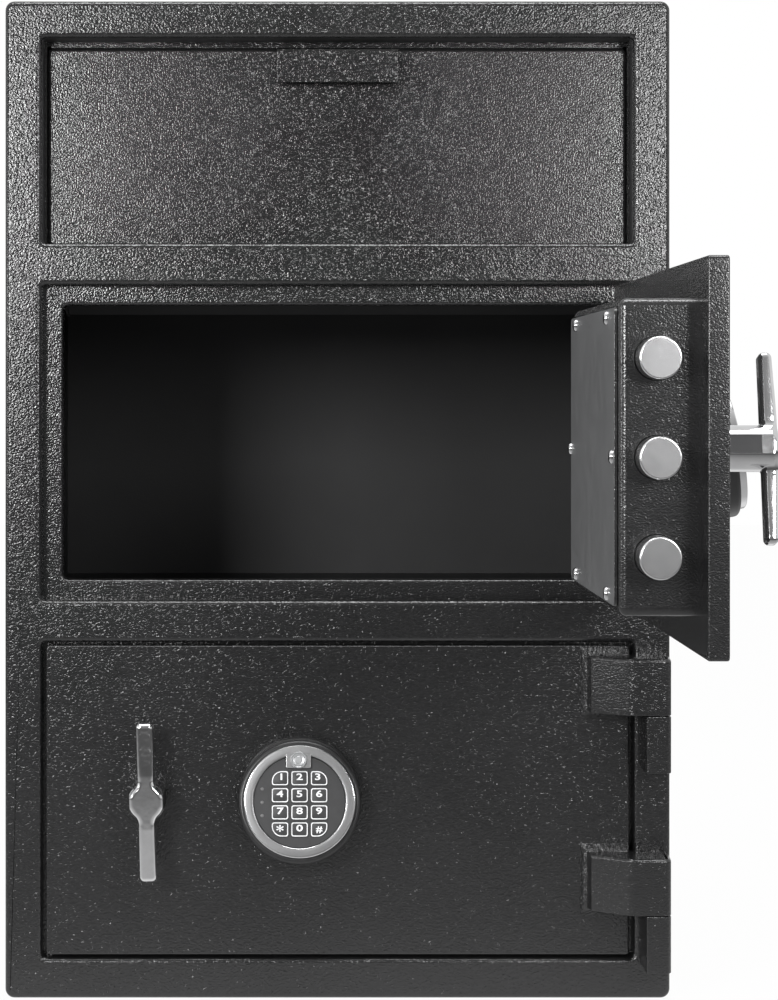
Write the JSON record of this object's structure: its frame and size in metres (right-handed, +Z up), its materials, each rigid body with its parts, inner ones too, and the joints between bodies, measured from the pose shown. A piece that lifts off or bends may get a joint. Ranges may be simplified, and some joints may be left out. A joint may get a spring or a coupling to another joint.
{
  "type": "drop safe",
  "caption": "Drop safe: tilt-out deposit hopper over two locked compartments with swing doors, sliding bolts, lever handles and round keypads.",
  "frame": {"origin": "middle of the underside of the body, on the floor that it stands on", "axes": "+Z up, -Y out of the front, +X towards the hinge side, to the right seen from the front"},
  "size_m": [0.5155, 0.992, 0.762],
  "materials": {
    "black_texture": "black orange-peel powder coat, semi-gloss",
    "black_sheet": "black powder coat, matt",
    "satin_cover": "smooth dark grey satin paint",
    "chrome": "polished chrome plate",
    "steel": "bright zinc-plated steel",
    "zinc_casting": "die-cast zinc, satin",
    "black_plastic": "moulded black plastic, semi-gloss",
    "key_rubber": "moulded black rubber keypad"
  },
  "bodies": {
    "body": {"front_frame": "black_texture", "body_wrapper": "black_texture", "back_plate": "black_texture", "lower_jamb": "black_texture", "upper_jamb": "black_texture", "divider_shelf": "black_sheet", "hopper_bracket_left": "black_sheet", "hopper_bracket_right": "black_sheet", "hopper_baffle": "black_sheet", "lower_hinge_base_top": "black_texture", "lower_hinge_base_bottom": "black_texture", "upper_hinge_base_top": "black_texture", "upper_hinge_base_bottom": "black_texture", "lower_hinge_pin_top": "steel", "lower_hinge_pin_bottom": "steel", "upper_hinge_pin_top": "steel", "upper_hinge_pin_bottom": "steel"},
    "hopper": {"hopper_panel": "black_texture", "hopper_pull": "black_texture", "hopper_side_left": "black_sheet", "hopper_side_right": "black_sheet", "hopper_tray": "black_sheet", "hopper_rod": "steel"},
    "lower_door": {"lower_door_plate": "black_texture", "lower_hinge_leaf_top": "black_texture", "lower_hinge_leaf_bottom": "black_texture", "lower_lock_box": "black_texture", "lower_lock_box_cover": "satin_cover", "lower_bolt_guide": "steel", "lower_lock_body": "zinc_casting", "lower_lock_bolt": "steel", "lower_keypad_housing": "black_plastic", "lower_keypad_ring": "chrome", "lower_keypad_keys": "key_rubber"},
    "lower_boltwork": {"lower_bolt_carriage": "steel", "lower_bolt_top": "chrome", "lower_bolt_middle": "chrome", "lower_bolt_bottom": "chrome"},
    "lower_handle_set": {"lower_handle": "chrome", "lower_spindle": "steel", "lower_crank": "steel"},
    "upper_door": {"upper_door_plate": "black_texture", "upper_hinge_leaf_top": "black_texture", "upper_hinge_leaf_bottom": "black_texture", "upper_lock_box": "black_texture", "upper_lock_box_cover": "satin_cover", "upper_bolt_guide": "steel", "upper_lock_body": "zinc_casting", "upper_lock_bolt": "steel", "upper_keypad_housing": "black_plastic", "upper_keypad_ring": "chrome", "upper_keypad_keys": "key_rubber"},
    "upper_boltwork": {"upper_bolt_carriage": "steel", "upper_bolt_top": "chrome", "upper_bolt_middle": "chrome", "upper_bolt_bottom": "chrome"},
    "upper_handle_set": {"upper_handle": "chrome", "upper_spindle": "steel", "upper_crank": "steel"}
  },
  "joints": [
    {"name": "hopper_tilt", "type": "hinge", "parent": "body", "child": "hopper", "pos_m": [0, -0.221, 0.586], "axis": [1, 0, 0], "range_deg": [0, 50]},
    {"name": "lower_door_swing", "type": "hinge", "parent": "body", "child": "lower_door", "pos_m": [0.2405, -0.275, 0.1515], "axis": [0, 0, 1], "range_deg": [0, 180]},
    {"name": "upper_door_swing", "type": "hinge", "parent": "body", "child": "upper_door", "pos_m": [0.2405, -0.275, 0.4245], "axis": [0, 0, 1], "range_deg": [-90, 90]},
    {"name": "lower_handle_turn", "type": "hinge", "parent": "lower_door", "child": "lower_handle_set", "pos_m": [-0.144, -0.254, 0.1555], "axis": [0, 1, 0], "range_deg": [0, 90]},
    {"name": "upper_handle_turn", "type": "hinge", "parent": "upper_door", "child": "upper_handle_set", "pos_m": [0.2195, -0.6595, 0.4285], "axis": [-1, 0, 0], "range_deg": [-13, 77]},
    {"name": "lower_bolt_slide", "type": "slide", "parent": "lower_door", "child": "lower_boltwork", "axis": [1, 0, 0], "range_m": [0, 0.0221]},
    {"name": "upper_bolt_slide", "type": "slide", "parent": "upper_door", "child": "upper_boltwork", "axis": [0, 1, 0], "range_m": [-0.0033, 0.0189]}
  ],
  "couplings": [
    {"joint": "lower_bolt_slide", "follows": "lower_handle_turn", "m_per_rad": 0.014045},
    {"joint": "upper_bolt_slide", "follows": "upper_handle_turn", "m_per_rad": 0.014045}
  ]
}
